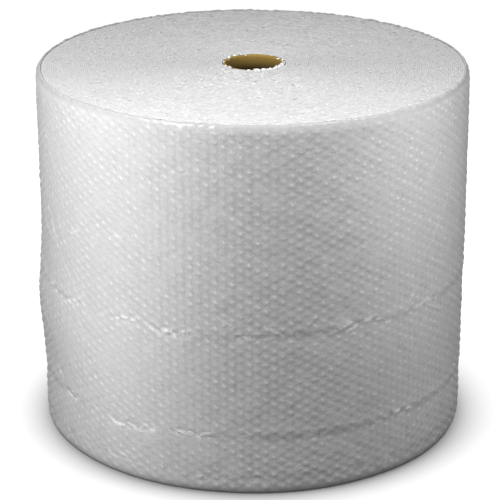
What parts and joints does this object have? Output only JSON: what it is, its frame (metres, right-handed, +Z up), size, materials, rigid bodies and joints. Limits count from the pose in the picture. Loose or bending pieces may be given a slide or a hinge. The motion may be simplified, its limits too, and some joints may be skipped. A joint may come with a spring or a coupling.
{
  "type": "bubble wrap roll",
  "caption": "Wide roll of small-bubble film wound on an open paper core, standing on its end.",
  "frame": {"origin": "on the core's axis, in the plane of the lower end, where the roll stands", "axes": "+Z up along the core's axis; +Y towards the loose end of the film, so that -Y is the side seen in the picture; +X to the right there"},
  "size_m": [0.5845, 0.5863, 0.5],
  "materials": {
    "film": "milky translucent film, satin",
    "core_paper": "wound brown paper board, matt"
  },
  "bodies": {
    "root": {"bubble_film": "film", "paper_core": "core_paper"}
  },
  "joints": []
}
